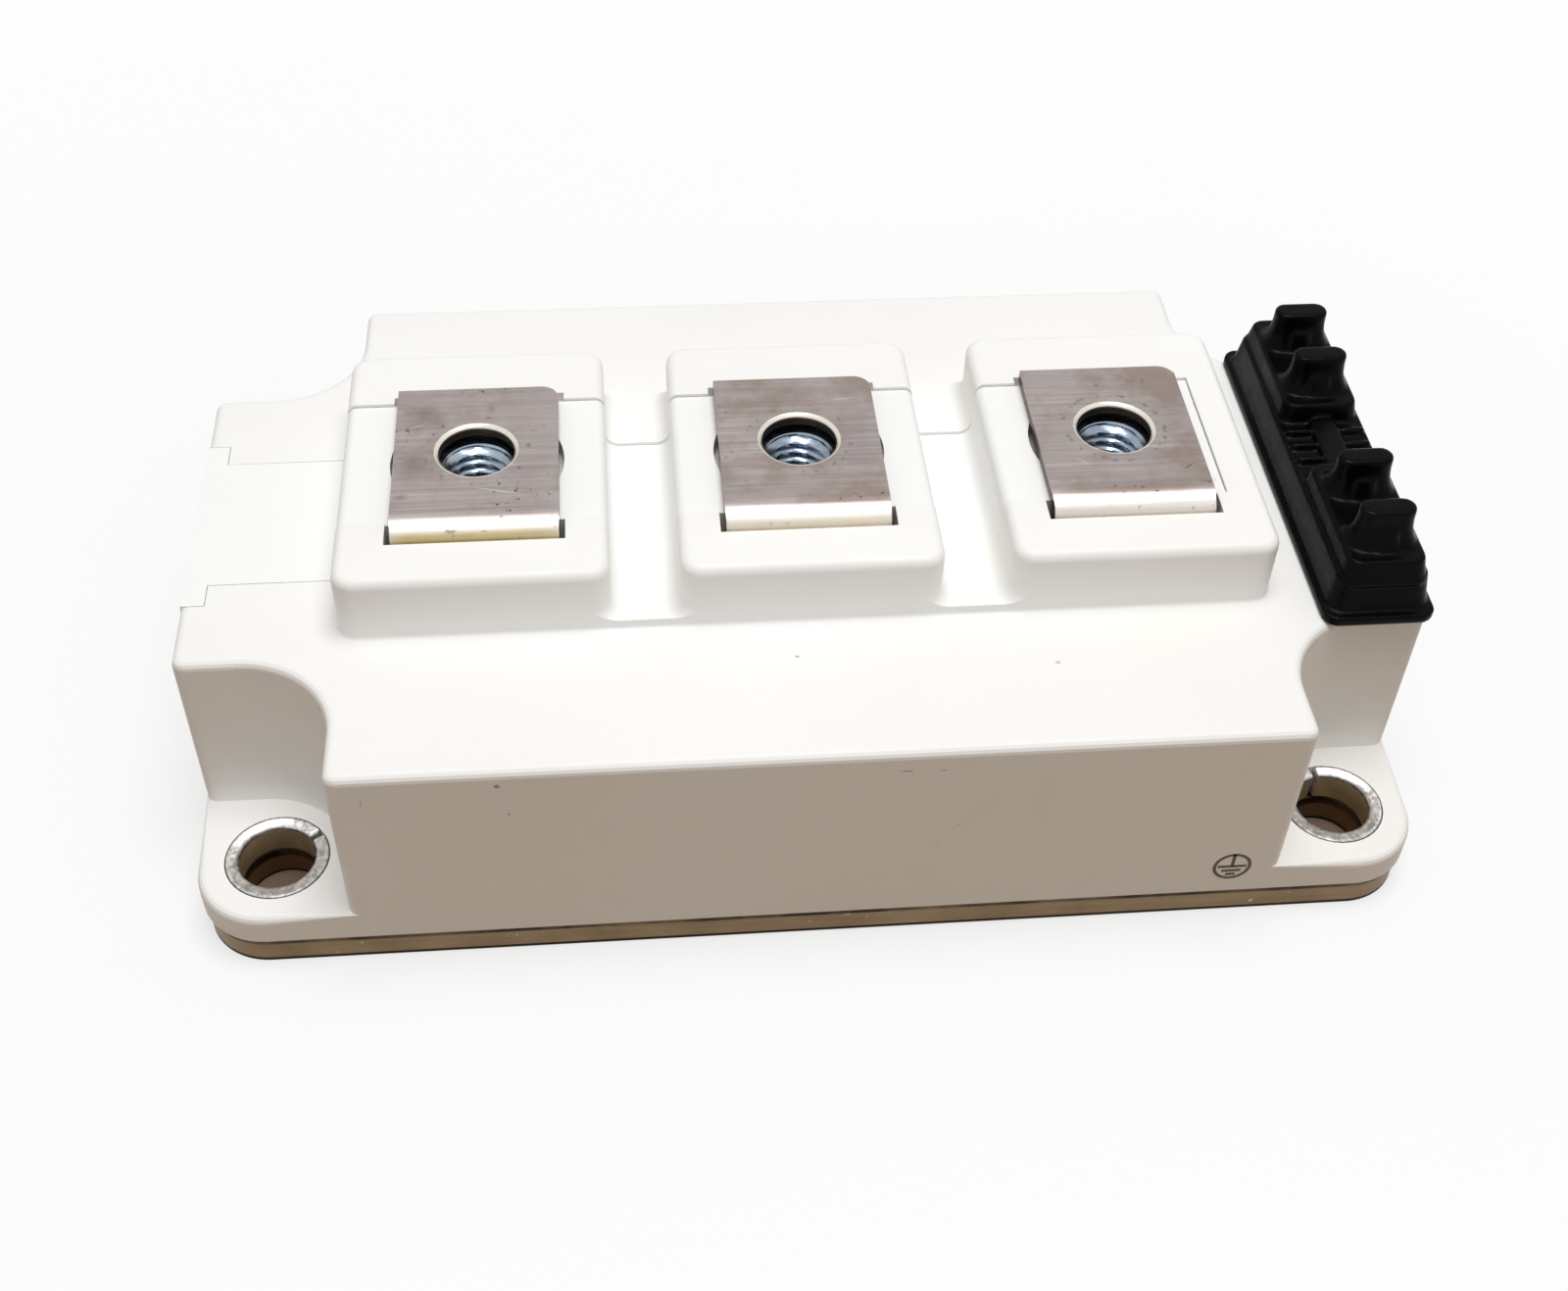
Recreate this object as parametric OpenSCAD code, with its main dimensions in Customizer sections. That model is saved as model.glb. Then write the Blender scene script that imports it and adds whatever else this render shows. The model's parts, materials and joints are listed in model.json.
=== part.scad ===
// Half-bridge power module in the 62 mm wide case: three screw terminals in a row, four control
// tabs under a conductive rubber cap at the right end, and a copper baseplate with four holes.
// X runs along the module, Y to the back, Z up. The origin is the middle of the base's underside.

/* [Case] */
// Length of the case and of its flange
case_l = 106.4; // [104:0.1:128]
// Width of the case, front wall to back wall
case_w = 61.4; // [60:0.1:74]
// Length of the front and back walls, between the screw corners
wall_l = 80; // [78:0.1:82]
// Width of the two end walls, between the screw corners
end_w = 34.8; // [34:0.1:38]
// Radius of the hollow that leaves room for each screw's head
corner_r = 8; // [5:0.1:9.5]
// Radius of the flange's corners
flange_r = 6; // [3:0.1:7]
// Height of the screw flange above the base's underside
flange_z = 6; // [5:0.1:8]
// Height of the deck above the base's underside
deck_z = 23.2; // [22:0.1:28]
// Thickness of the case's walls
wall = 2; // [1.6:0.1:2.4]

/* [Baseplate] */
// Thickness of the copper base
base_t = 3; // [2.5:0.1:3.6]
// How far the base stays inside the case's edge
base_inset = 0.3; // [0:0.05:0.8]
// Distance between screw holes along the module
hole_pitch_x = 93; // [88:0.1:95]
// Distance between screw holes across the module
hole_pitch_y = 48; // [46:0.1:50]
// Diameter of the screw holes
hole_d = 6.5; // [5.4:0.1:7.8]

/* [Sleeves] */
// Wall of the rolled steel sleeve in each screw hole
sleeve_wall = 1.2; // [0.9:0.1:1.5]
// Width of the sleeve's open seam
sleeve_seam = 0.5; // [0.2:0.05:1]

/* [Terminals] */
// Distance between the screw terminals
pitch = 28; // [26:0.1:30]
// Height of the terminals' contact faces above the base's underside
terminal_z = 30.5; // [29:0.1:36.6]
// Width of a terminal
tab_w = 14.1; // [11.7:0.1:15]
// Thickness of a terminal
tab_t = 1.1; // [0.9:0.1:1.4]
// From the screw's axis to the terminal's free end
tab_back = 8.5; // [7.5:0.1:9.2]
// From the screw's axis to the front face of the terminal's leg
tab_front = 10.4; // [9.8:0.1:11.4]
// Outer radius of the terminal's top bend
bend_r = 2.4; // [1.8:0.1:2.8]
// Diameter of the terminal's screw hole
tab_hole_d = 6.6; // [6:0.1:8]
// Chamfer round the top of that hole
tab_hole_lead = 0.25; // [0.1:0.05:0.4]

/* [Terminal blocks] */
// Width of the middle block, along the row
block_w = 22.2; // [20.5:0.1:23.4]
// Depth of the blocks, front to back
block_d = 30.4; // [27:0.1:33]
// Height of the blocks above the base's underside
block_z = 29.5; // [28.4:0.1:35.4]
// Width of the valleys between the blocks
valley_w = 5.8; // [4.8:0.1:6.6]
// Height of the valley floors above the deck
step_h = 0.9; // [0.5:0.1:1.5]
// Radius of the blocks' upright corners
block_r = 1.8; // [1.2:0.1:2.4]
// Radius along the blocks' top edges
block_edge_r = 0.9; // [0.3:0.1:1.1]
// Radius along the foot of the block row
row_foot_r = 0.3; // [0.2:0.1:0.8]
// Radius along the foot of each valley's walls
valley_r = 1.2; // [0.6:0.1:2]

/* [Nut carrier] */
// Width of the nut carrier
carrier_w = 15.8; // [15.4:0.1:17]
// Drop from the blocks' tops to the carrier's tops
carrier_drop = 0.3; // [0.1:0.05:0.5]
// Height of the carrier's underside above the base's underside
carrier_z = 15; // [13.5:0.1:17]
// Width of the carrier's end flange
carrier_flange_w = 20.8; // [19:0.1:23]
// Thickness of the carrier's end flange
carrier_flange_t = 2; // [1.6:0.1:2.4]
// Diameter of the round recess under each terminal
recess_d = 15; // [14.6:0.1:15.4]

/* [Nuts] */
// Width of a nut across its flats
nut_af = 10; // [8.4:0.1:11]
// Height of a nut
nut_h = 5; // [4:0.1:6]
// Diameter of a nut's thread, at its crests
nut_bore_d = 5; // [4.2:0.1:6]
// Drop from a terminal's underside to its nut
nut_drop = 0.8; // [0.3:0.1:1.5]

/* [Control tabs and cap] */
// Distance from the module's middle to the row of control tabs
control_x = 48.3; // [47.8:0.1:48.6]
// Distance of the inner control tabs from the module's long axis
control_y = 7.2; // [6.6:0.1:7.8]
// Distance between the two tabs of a pair
control_pitch = 6.6; // [6:0.1:6.9]
// Width of a control tab
control_w = 2.8; // [2.2:0.1:3.2]
// Thickness of a control tab
control_t = 0.8; // [0.5:0.1:1]
// Height of the control tabs above the base's underside
control_z = 31.2; // [30:0.1:34]
// Width of the cap's flange, along the module
cap_w = 9.8; // [9:0.1:9.8]
// Length of the cap's flange, across the module
cap_l = 37.6; // [36:0.1:40]
// Thickness of the rubber
rubber_t = 1.1; // [0.8:0.1:1.3]

/* [Circuit] */
// Length of a substrate, across the module
substrate_l = 48; // [46:0.1:52]
// Width of a substrate, along the module
substrate_w = 36; // [34:0.1:37]
// Thickness of the ceramic
ceramic_t = 0.4; // [0.3:0.05:0.7]
// Thickness of each copper layer
copper_t = 0.3; // [0.2:0.05:0.4]
// Thickness of a solder layer
solder_t = 0.1; // [0.05:0.01:0.2]
// Side of a transistor chip
igbt_w = 10; // [8:0.1:10.4]
// Side of a diode chip
diode_w = 8; // [6:0.1:8.4]
// Thickness of a chip
chip_t = 0.2; // [0.1:0.05:0.4]
// Diameter of a bond wire
wire_d = 0.4; // [0.2:0.05:0.5]
// Height of the gel's surface above the base's underside
gel_z = 12; // [10:0.1:12.6]

/* [Hidden] */
$fn = 64;
EPS = 0.01;
FAR = 200;
// Room left between pieces that slide together
slip = 0.06;
hull_fn = 32;
SIDES = [-1, 1];
COLUMNS = [-1, 0, 1];

half_l = case_l / 2;
half_w = case_w / 2;
edge_r = 1;
deck_t = 2.2;
cavity_top = deck_z - deck_t;
floor_z = deck_z + step_h;
bead_h = 0.3;
bead_w = 0.8;

sleeve_d = hole_d + 2 * sleeve_wall;
sleeve_proud = 0.1;

// Terminal blocks: the outer two reach as far as the long walls do, less this margin
block_margin = 0.3;
outer_block_w = (wall_l - 2 * block_margin - block_w - 2 * valley_w) / 2;
outer_block_x = (block_w + outer_block_w) / 2 + valley_w;
plateau_l = wall_l - 2 * block_margin;
BLOCKS = [[-outer_block_x, outer_block_w], [0, block_w], [outer_block_x, outer_block_w]];
block_core = 1.8;

tab_under = terminal_z - tab_t;
slot_side = 0.45;
slot_front = 0.2;
end_room = 0.3;
foot_w = 4.5;
foot_x = 4.8;
foot_split_z = 14;
foot_r = 0.5;
foot_l = 4.6;
tab_corner_r = 1.5;

carrier_end = outer_block_x + outer_block_w / 2 - 3.3;
trough_wall = 1.5;
recess_depth = 1.6;
nut_z = tab_under - nut_drop - nut_h;
nut_slip = 0.15;
nut_lead = 0.5;
screw_room_d = 7;
screw_room_z = carrier_z + 1.6;

boss_w = 5;
boss_h = 4.5;
boss_margin = 2.3;
CONTROLS = [control_y + control_pitch, control_y, -control_y, -control_y - control_pitch];
cap_flange_t = 0.9;
cap_gap = 0.15;
tier_1_h = 4;
tier_2_h = boss_h + cap_gap + rubber_t;
upstand_l = control_w + 1.9 * rubber_t;
upstand_w = control_t + 1.2 * rubber_t;
upstand_top = control_z + cap_gap + rubber_t - 0.1;
ridge_w = 2.5;
rib_w = 2.2;
RIBS = [-1.9, 0, 1.9];

backing_z = base_t + solder_t;
ceramic_z = backing_z + copper_t;
circuit_z = ceramic_z + ceramic_t;
pad_z = circuit_z + copper_t;
chip_z = pad_z + solder_t;
chip_top = chip_z + chip_t;
substrate_x = substrate_w / 2 + 1;
layer_inset = 0.7;
track_gap = 0.8;
bus_y = -10.5;
gate_w = 1;
collector_y = bus_y + gate_w + 2 * track_gap;
collector_l = 23;
igbt_y = collector_y + 1.2 + igbt_w / 2;
diode_y = igbt_y + igbt_w / 2 + 2 + diode_w / 2;
chip_pitch = 11.2;
control_foot_w = 1;
control_foot_x = substrate_x + substrate_w / 2 - layer_inset - 0.2;
control_pad_w = 1.5;
control_pad_l = 3;
control_pad_gap = 0.5;
WIRE_OFFSETS = [-3, -1, 1, 3];
gel_low = chip_top + 3.2;

// ---- Outlines ----

// Rectangle with round corners, centred
module round_rect(l, w, r) {
    square([l - 2 * r, w], center = true);
    square([l, w - 2 * r], center = true);
    for (sx = SIDES, sy = SIDES) translate([sx * (l / 2 - r), sy * (w / 2 - r)]) circle(r);
}

module round_slab(l, w, r, h) {
    linear_extrude(h) round_rect(l, w, r);
}

// Places an outline, drawn outwards from the origin, along the four sides and corners of a slab
module along_edge(l, w, r) {
    for (turn = [0, 180]) rotate([0, 0, turn]) {
        translate([l / 2 - r, 0, 0]) rotate([90, 0, 0])
            translate([0, 0, r - w / 2]) linear_extrude(w - 2 * r) translate([r, 0]) children();
        translate([0, w / 2 - r, 0]) rotate([90, 0, 90])
            translate([0, 0, r - l / 2]) linear_extrude(l - 2 * r) translate([r, 0]) children();
    }
    for (mx = [0, 1], my = [0, 1]) mirror([mx, 0]) mirror([0, my])
        translate([l / 2 - r, w / 2 - r, 0]) rotate_extrude(angle = 90) translate([r, 0]) children();
}

// Slab whose top edges are rounded
module soft_slab(l, w, r, h, edge) {
    round_slab(l, w, r, h - edge);
    round_slab(l - 2 * edge, w - 2 * edge, r - edge, h);
    translate([0, 0, h - edge]) along_edge(l, w, r) translate([-edge, 0]) intersection() {
        circle(edge);
        square(edge);
    }
}

// Outline of the fillet in an inside corner
module fillet(radius) {
    difference() {
        translate([-EPS, -EPS]) square(radius + EPS);
        translate([radius, radius]) circle(radius);
    }
}

// The case seen from above: a cross whose four inside corners are hollowed round the screws
module case_outline(inset = 0) {
    hollow_r = corner_r + inset;
    outer_r = max(edge_r - inset, 0.2);
    round_rect(wall_l - 2 * inset, case_w - 2 * inset, outer_r);
    round_rect(case_l - 2 * inset, end_w - 2 * inset, outer_r);
    for (mx = [0, 1], my = [0, 1]) mirror([mx, 0]) mirror([0, my])
        translate([wall_l / 2 - inset, end_w / 2 - inset]) fillet(hollow_r);
}

// Puts its children at the four screw holes
module at_screws() {
    for (sx = SIDES, sy = SIDES) translate([sx * hole_pitch_x / 2, sy * hole_pitch_y / 2]) children();
}

// Turns an outline drawn in X and Z into a solid between two depths
module between_y(y0, y1) {
    translate([0, y1, 0]) rotate([90, 0, 0]) linear_extrude(y1 - y0) children();
}

// ---- Base and case ----

module baseplate() {
    color([0.62, 0.53, 0.43]) difference() {
        round_slab(case_l - 2 * base_inset, case_w - 2 * base_inset, flange_r - base_inset, base_t);
        translate([0, 0, -1]) at_screws() cylinder(d = hole_d, h = base_t + 2);
    }
}

// Fillet along one side of a valley, which follows the blocks' corners to the plateau's edge
module valley_fillet() {
    corner_y = block_d / 2 - block_r;
    between_y(-corner_y, corner_y) translate([-valley_w / 2, 0]) fillet(valley_r);
    intersection() {
        for (my = [0, 1]) mirror([0, my, 0])
            translate([-valley_w / 2 - block_r, corner_y, 0])
                rotate_extrude(angle = 90) translate([block_r, 0]) fillet(valley_r);
        cube([valley_w + 2 * block_r, block_d, 2 * valley_r], center = true);
    }
}

// The blocks, the low plateau they stand on and the fillets along its foot and the valleys
module block_row(drop = 0) {
    block_top = block_z - drop;
    low = deck_z - deck_t;
    translate([0, 0, low]) round_slab(plateau_l, block_d, block_r, floor_z - drop - low);
    translate([0, 0, deck_z]) along_edge(plateau_l, block_d, block_r) fillet(row_foot_r);
    for (b = BLOCKS) translate([b[0], 0, low])
        soft_slab(b[1], block_d, block_r, block_top - low, block_edge_r);
    for (s = SIDES, t = SIDES)
        translate([s * (block_w + valley_w) / 2, 0, floor_z - drop]) mirror([t > 0 ? 1 : 0, 0, 0])
            valley_fillet();
}

// Room for the nut carrier and its end flange, open at the top and at the left end
module carrier_channel() {
    w = carrier_w + 2 * slip;
    translate([-FAR, -w / 2, carrier_z]) cube([FAR + carrier_end + slip, w, FAR]);
    flange_room = carrier_flange_w + 2 * slip;
    translate([-FAR, -flange_room / 2, carrier_z])
        cube([FAR - half_l + carrier_flange_t + slip, flange_room, FAR]);
}

// Walls and floor that hang from the deck round the carrier's room, from the left end inwards
module carrier_trough(l, room_w) {
    w = room_w + 2 * trough_wall;
    low = carrier_z - trough_wall;
    translate([-half_l + EPS, -w / 2, low]) cube([l, w, cavity_top - low + EPS]);
}

module terminal_slots() {
    w = tab_w + 2 * slot_side;
    front = -tab_front - slot_front;
    for (c = COLUMNS) translate([c * pitch - w / 2, 0, 0]) {
        translate([0, front, base_t]) cube([w, -front - carrier_w / 2, FAR]);
        translate([0, 0, tab_under - 1.2]) cube([w, tab_back + end_room, FAR]);
    }
}

// Hollows under the blocks' backs, as a moulding has them
module block_cores() {
    core_y = carrier_w / 2 + slip + trough_wall;
    for (b = BLOCKS) translate([b[0] - b[1] / 2 + block_core, core_y, cavity_top - EPS])
        cube([b[1] - 2 * block_core, block_d / 2 - core_y - block_core, block_z - block_core - cavity_top]);
}

module control_bosses() {
    l = control_pitch + 2 * boss_margin;
    for (s = SIDES) translate([control_x, s * (control_y + control_pitch / 2), cavity_top])
        round_slab(boss_w, l, edge_r, deck_t + boss_h);
}

module housing() {
    color([0.93, 0.92, 0.88]) difference() {
        union() {
            translate([0, 0, base_t]) round_slab(case_l, case_w, flange_r, flange_z - base_t);
            difference() {
                translate([0, 0, base_t]) linear_extrude(deck_z - base_t) case_outline();
                translate([0, 0, base_t - 1]) linear_extrude(cavity_top - base_t + 1) case_outline(wall);
            }
            block_row();
            control_bosses();
            carrier_trough(half_l + carrier_end + slip + trough_wall, carrier_w + 2 * slip);
            carrier_trough(carrier_flange_t + trough_wall, carrier_flange_w);
        }
        translate([0, 0, base_t - 1]) linear_extrude(flange_z - base_t + 2) case_outline(wall);
        carrier_channel();
        terminal_slots();
        block_cores();
        at_screws() cylinder(d = sleeve_d + slip, h = deck_z);
        for (y = CONTROLS) translate([control_x, y, deck_z])
            cube([control_w, control_t, FAR], center = true);
        translate([0, 0, base_t - EPS]) bead_ring(bead_h + EPS);
    }
}

// Closed ring of adhesive between the case's foot and the base
module bead_ring(h) {
    linear_extrude(h) difference() {
        case_outline((wall - bead_w) / 2);
        case_outline((wall + bead_w) / 2);
    }
}

module adhesive_bead() {
    color([0.3, 0.3, 0.3]) translate([0, 0, base_t]) bead_ring(bead_h);
}

// Steel strip rolled into a sleeve, with its seam left open
module sleeve(sx, sy, seam_angle) {
    r = sleeve_d / 2;
    seam = sleeve_seam / r * 180 / PI;
    color([0.72, 0.72, 0.7]) translate([sx * hole_pitch_x / 2, sy * hole_pitch_y / 2, base_t])
        rotate([0, 0, seam_angle + seam / 2]) rotate_extrude(angle = 360 - seam)
            translate([hole_d / 2, 0]) square([sleeve_wall, flange_z - base_t + sleeve_proud]);
}

// ---- Nut carrier, nuts and terminals ----

module nut_outline(af) {
    circle(d = af / cos(30), $fn = 6);
}

module nut_carrier() {
    left = -half_l;
    color([0.95, 0.94, 0.91]) difference() {
        union() {
            translate([left, -carrier_w / 2, carrier_z])
                cube([carrier_end - left, carrier_w, cavity_top - carrier_z]);
            translate([left, -carrier_w / 2, cavity_top - EPS])
                cube([half_l - wall_l / 2 + block_margin, carrier_w, deck_t + EPS]);
            translate([left, -carrier_flange_w / 2, carrier_z])
                cube([carrier_flange_t, carrier_flange_w, deck_z - carrier_z]);
            intersection() {
                block_row(carrier_drop);
                translate([-FAR, -carrier_w / 2, 0]) cube([FAR + carrier_end, carrier_w, FAR]);
            }
        }
        for (c = COLUMNS) translate([c * pitch, 0, 0]) {
            translate([0, 0, block_z - carrier_drop - recess_depth]) cylinder(d = recess_d, h = FAR);
            translate([0, 0, nut_z]) linear_extrude(FAR) nut_outline(nut_af + 2 * nut_slip);
            translate([0, 0, screw_room_z]) cylinder(d = screw_room_d, h = FAR);
        }
    }
}

module nut(column) {
    corner = nut_af / cos(30) / 2;
    side = nut_af / 2;
    bore = nut_bore_d / 2;
    color([0.72, 0.76, 0.82]) translate([column * pitch, 0, nut_z]) difference() {
        intersection() {
            linear_extrude(nut_h) nut_outline(nut_af);
            rotate_extrude() polygon([
                [0, 0], [side - 0.1, 0], [corner, nut_lead], [corner, nut_h - nut_lead],
                [side - 0.1, nut_h], [0, nut_h]
            ]);
        }
        translate([0, 0, -1]) cylinder(r = bore, h = nut_h + 2);
        for (z = [0, nut_h - nut_lead])
            translate([0, 0, z]) cylinder(
                r1 = z > 0 ? bore : bore + nut_lead, r2 = z > 0 ? bore + nut_lead : bore, h = nut_lead);
    }
}

// Quarter of a bent strip: inner radius, width along X, turned about the X axis
module strip_bend(inner_r, w) {
    translate([-w / 2, 0, 0]) rotate([90, 0, 90]) rotate([0, 0, 90])
        intersection() {
            difference() {
                cylinder(r = inner_r + tab_t, h = w);
                translate([0, 0, -1]) cylinder(r = inner_r, h = w + 2);
            }
            cube([FAR, FAR, FAR]);
        }
}

module terminal(column) {
    leg_back = tab_t - tab_front;
    bend_y = bend_r - tab_front;
    bend_z = terminal_z - bend_r;
    foot_bend_z = pad_z + tab_t + foot_r;
    color([0.66, 0.61, 0.58]) translate([column * pitch, 0, 0]) {
        translate([0, 0, tab_under]) difference() {
            linear_extrude(tab_t) difference() {
                translate([-tab_w / 2, bend_y]) square([tab_w, tab_back - bend_y]);
                circle(d = tab_hole_d);
                translate([tab_w / 2 - tab_corner_r, tab_back - tab_corner_r]) difference() {
                    square(tab_corner_r + 1);
                    circle(tab_corner_r);
                }
            }
            translate([0, 0, tab_t - tab_hole_lead]) cylinder(
                d1 = tab_hole_d, d2 = tab_hole_d + 2 * tab_hole_lead + EPS, h = tab_hole_lead + EPS / 2);
        }
        translate([0, bend_y, bend_z]) strip_bend(bend_r - tab_t, tab_w);
        translate([-tab_w / 2, -tab_front, foot_split_z]) cube([tab_w, tab_t, bend_z - foot_split_z]);
        for (s = SIDES) translate([s * foot_x, 0, 0]) {
            translate([-foot_w / 2, -tab_front, foot_bend_z])
                cube([foot_w, tab_t, foot_split_z - foot_bend_z]);
            translate([0, -tab_front - foot_r, foot_bend_z]) rotate([180, 0, 0]) strip_bend(foot_r, foot_w);
            translate([-foot_w / 2, -tab_front - foot_r - foot_l, pad_z]) cube([foot_w, foot_l, tab_t]);
        }
    }
}

// ---- Control tabs and rubber cap ----

// Blade, arm and foot are stamped from one strip that stands on edge
module control_tab(y) {
    arm_z = gel_low + 1;
    arm_h = 2;
    foot_left = control_foot_x - control_foot_w;
    blade_w = control_w - 0.1;
    blade_h = control_z - arm_z;
    lead = 0.6;
    color([0.75, 0.72, 0.68]) between_y(y - control_t / 2 + 0.05, y + control_t / 2 - 0.05) {
        translate([control_x, arm_z]) polygon([
            [-blade_w / 2, 0], [-blade_w / 2, blade_h - lead], [lead - blade_w / 2, blade_h],
            [blade_w / 2 - lead, blade_h], [blade_w / 2, blade_h - lead], [blade_w / 2, 0]
        ]);
        translate([foot_left, arm_z]) square([control_x - foot_left, arm_h]);
        translate([foot_left, pad_z]) square([control_foot_w, arm_z - pad_z + EPS]);
    }
}

// Frustum with round corners between two rectangles
module taper(l0, w0, l1, w1, h, r) {
    hull() {
        round_slab(l0, w0, r, EPS, $fn = hull_fn);
        translate([0, 0, h - EPS]) round_slab(l1, w1, r, EPS, $fn = hull_fn);
    }
}

module esd_cap() {
    tier_w = cap_w - 1;
    tier_l = cap_l - 2;
    pair_l = control_pitch + 2 * boss_margin + 2 * rubber_t + 0.3;
    pair_y = control_y + control_pitch / 2;
    color([0.1, 0.1, 0.11]) translate([control_x, 0, deck_z]) difference() {
        union() {
            round_slab(cap_w, cap_l, 1.4, cap_flange_t);
            taper(tier_w, tier_l, tier_w - 0.9, tier_l - 0.9, tier_1_h, 1.2);
            for (s = SIDES) translate([0, s * pair_y, tier_1_h - EPS])
                taper(tier_w - 1.3, pair_l, tier_w - 2, pair_l - 0.7, tier_2_h - tier_1_h + EPS, 1);
            translate([0, 0, tier_1_h - EPS]) {
                round_slab(ridge_w, 2 * pair_y - pair_l + 1, 0.6, 0.9);
                for (s = SIDES, y = RIBS) translate([s * (ridge_w + rib_w) / 2, y, 0])
                    round_slab(rib_w + 0.4, 0.7, 0.3, 0.8);
            }
            for (y = CONTROLS) translate([0, y, tier_2_h - EPS]) {
                taper(upstand_l + 1.4, upstand_w + 1.6, upstand_l, upstand_w, 1.2, upstand_w / 2 - 0.05);
                round_slab(upstand_l, upstand_w, upstand_w / 2 - 0.05, upstand_top - deck_z - tier_2_h);
            }
        }
        for (s = SIDES) translate([0, s * pair_y, -1])
            round_slab(boss_w + 2 * cap_gap, control_pitch + 2 * (boss_margin + cap_gap), edge_r,
                       boss_h + cap_gap + 1);
        for (y = CONTROLS) translate([-(control_w + 2 * cap_gap) / 2, y - control_t / 2 - cap_gap, 0])
            cube([control_w + 2 * cap_gap, control_t + 2 * cap_gap, control_z + cap_gap - deck_z]);
    }
}

// ---- Circuit inside ----

module at_side(side) {
    translate([side * substrate_x, 0, 0]) children();
}

module layer(l, w, z, t) {
    translate([-w / 2, -l / 2, z]) cube([w, l, t]);
}

module base_solder(side) {
    inset = 2 * layer_inset;
    color([0.6, 0.6, 0.62]) at_side(side) layer(substrate_l - inset, substrate_w - inset, base_t, solder_t);
}

module backing_copper(side) {
    inset = 2 * layer_inset;
    color([0.75, 0.42, 0.27]) at_side(side)
        layer(substrate_l - inset, substrate_w - inset, backing_z, copper_t);
}

module ceramic(side) {
    color([0.93, 0.93, 0.9]) at_side(side) layer(substrate_l, substrate_w, ceramic_z, ceramic_t);
}

// Four tracks: bus, gate, collector and emitter, from front to back
module circuit_copper(side) {
    edge = substrate_l / 2 - layer_inset;
    w = substrate_w - 2 * layer_inset;
    gate_y = bus_y + track_gap;
    emitter_y = collector_y + collector_l + track_gap;
    collector_end = collector_y + collector_l;
    spans = [[-edge, bus_y], [gate_y, gate_y + gate_w], [collector_y, collector_end], [emitter_y, edge]];
    color([0.8, 0.45, 0.28]) {
        difference() {
            at_side(side) for (s = spans)
                translate([-w / 2, s[0], circuit_z]) cube([w, s[1] - s[0], copper_t]);
            if (side > 0) control_pads(control_pad_gap, FAR);
        }
        if (side > 0) control_pads(0, copper_t);
    }
}

// One small pad under each control tab's foot
module control_pads(gap, h) {
    right = substrate_x + substrate_w / 2 - layer_inset;
    for (y = CONTROLS) translate([right - control_pad_w - gap, y - control_pad_l / 2 - gap, circuit_z])
        cube([control_pad_w + gap + (gap > 0 ? 1 : 0), control_pad_l + 2 * gap, h]);
}

module chip_row(y, w, z, t) {
    for (c = COLUMNS) translate([c * chip_pitch - w / 2, y - w / 2, z]) cube([w, w, t]);
}

module chip_solder(side) {
    color([0.6, 0.6, 0.62]) at_side(side) {
        chip_row(igbt_y, igbt_w, pad_z, solder_t);
        chip_row(diode_y, diode_w, pad_z, solder_t);
    }
}

module igbt_chips(side) {
    color([0.55, 0.57, 0.6]) at_side(side) chip_row(igbt_y, igbt_w, chip_z, chip_t);
}

module diode_chips(side) {
    color([0.6, 0.58, 0.52]) at_side(side) chip_row(diode_y, diode_w, chip_z, chip_t);
}

// Half ring from one landing place to the next, which may lie lower by drop
module bond_wire(x, y0, y1, drop = 0, drop_at = 1) {
    r = abs(y1 - y0) / 2;
    translate([x, (y0 + y1) / 2, chip_top]) {
        rotate([90, 0, 90]) rotate_extrude(angle = 180) translate([r, 0]) circle(d = wire_d, $fn = 24);
        if (drop > 0) translate([0, drop_at * r, -drop]) cylinder(d = wire_d, h = drop, $fn = 24);
    }
}

module bond_wires(side) {
    from_igbt = igbt_y + igbt_w / 2 - 1.2;
    to_diode = diode_y - diode_w / 2 + 1.4;
    from_diode = diode_y + diode_w / 2 - 1.4;
    to_emitter = collector_y + collector_l + track_gap + 1.2;
    from_gate = igbt_y - igbt_w / 2 + 0.6;
    to_gate = bus_y + track_gap + gate_w / 2;
    drop = chip_top - pad_z;
    color([0.85, 0.85, 0.87]) at_side(side) for (c = COLUMNS) translate([c * chip_pitch, 0, 0]) {
        for (x = WIRE_OFFSETS) {
            bond_wire(x, from_igbt, to_diode);
            bond_wire(x, from_diode, to_emitter, drop, 1);
        }
        bond_wire(0, to_gate, from_gate, drop, -1);
    }
}

// Upper part of the soft gel, round the legs that come up through it
module gel_fill() {
    color([0.85, 0.88, 0.9, 0.5]) difference() {
        translate([0, 0, gel_low]) linear_extrude(gel_z - gel_low) case_outline(wall);
        for (c = COLUMNS, s = SIDES) translate([c * pitch + s * foot_x - foot_w / 2, -tab_front, 0])
            cube([foot_w, tab_t, FAR]);
        for (y = CONTROLS) translate([control_foot_x - control_foot_w, y - control_t / 2, 0])
            cube([control_x + control_w / 2 - control_foot_x + control_foot_w, control_t, FAR]);
    }
}

// ---- The module's pieces ----

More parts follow.
